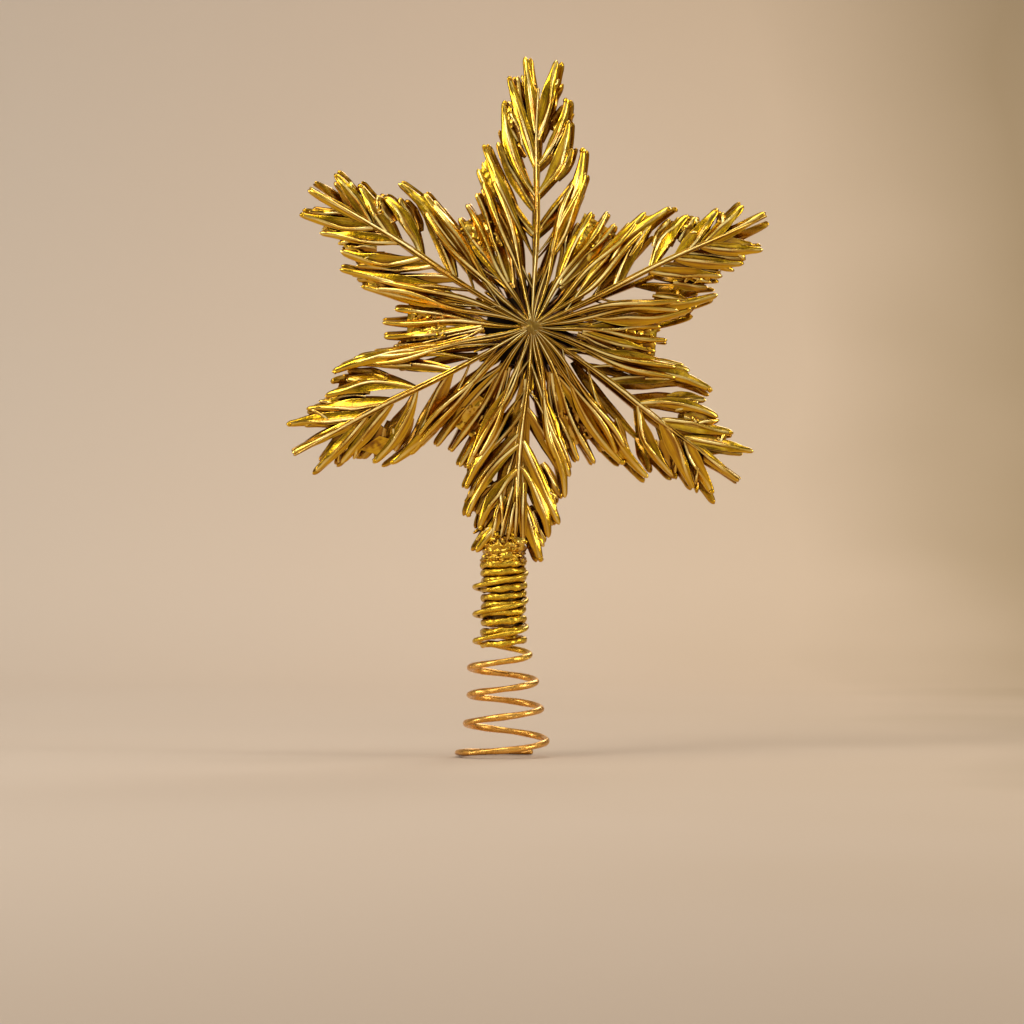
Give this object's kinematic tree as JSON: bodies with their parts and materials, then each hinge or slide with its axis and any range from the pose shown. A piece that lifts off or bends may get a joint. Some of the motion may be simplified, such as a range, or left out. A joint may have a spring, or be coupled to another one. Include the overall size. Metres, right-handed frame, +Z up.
{
  "type": "christmas tree topper star",
  "caption": "Six-pointed star of gold-plated fern-like fronds in two layers on a dark hub, with a stem, a wire-wrapped collar and a spring coil that grips a tree's leader.",
  "frame": {"origin": "centre of the coil's lowest turn, on the coil's axis, level with the wire's foot", "axes": "+Z up along the coil's axis towards the star, -Y the way the star faces, +X to the right seen from the front"},
  "size_m": [0.1938, 0.0374, 0.28],
  "materials": {
    "gold_front": "moulded plastic, mirror-bright gold plating with fine ribs",
    "gold_rear": "moulded plastic, mirror-bright gold plating, a little deeper in tone",
    "gold_button": "gold plating rubbed to a satin on the flat top",
    "dark_core": "unplated dark plastic, slightly dusty with gold",
    "pin_steel": "bright steel pin",
    "stem_wire": "plastic rod with a thin gold coat",
    "sleeve_plastic": "plastic sleeve, gold coat where it shows between the wires",
    "gold_tape": "crumpled binding tape under gold plating, rough and bright",
    "bright_wire": "bright gold-plated wire, wound tight",
    "copper_gold_wire": "gold-plated wire with a copper tone"
  },
  "bodies": {
    "coil": {"coil_wire": "copper_gold_wire"},
    "star": {"front_frond_top": "gold_front", "front_frond_upper_right": "gold_front", "front_frond_lower_right": "gold_front", "front_frond_bottom": "gold_front", "front_frond_lower_left": "gold_front", "front_frond_upper_left": "gold_front", "rear_frond_top": "gold_rear", "rear_frond_upper_right": "gold_rear", "rear_frond_lower_right": "gold_rear", "rear_frond_bottom": "gold_rear", "rear_frond_lower_left": "gold_rear", "rear_frond_upper_left": "gold_rear", "front_spray_top_right": "gold_front", "front_spray_right": "gold_front", "front_spray_bottom_right": "gold_front", "front_spray_bottom_left": "gold_front", "front_spray_left": "gold_front", "front_spray_top_left": "gold_front", "rear_spray_top_right": "gold_rear", "rear_spray_right": "gold_rear", "rear_spray_bottom_right": "gold_rear", "rear_spray_bottom_left": "gold_rear", "rear_spray_left": "gold_rear", "rear_spray_top_left": "gold_rear", "front_button": "gold_button", "rear_button": "gold_button", "core_hub": "dark_core", "centre_pin": "pin_steel", "stem_rod": "stem_wire", "stem_sleeve": "sleeve_plastic", "tape_band": "gold_tape", "binding_wire": "bright_wire"}
  },
  "joints": [
    {"name": "neck_lean", "type": "hinge", "parent": "coil", "child": "star", "pos_m": [0, 0, 0.034], "axis": [0, 1, 0], "range_deg": [-10, 10], "stiffness_Nm_per_rad": 1, "deforming": ["coil_wire"]}
  ]
}
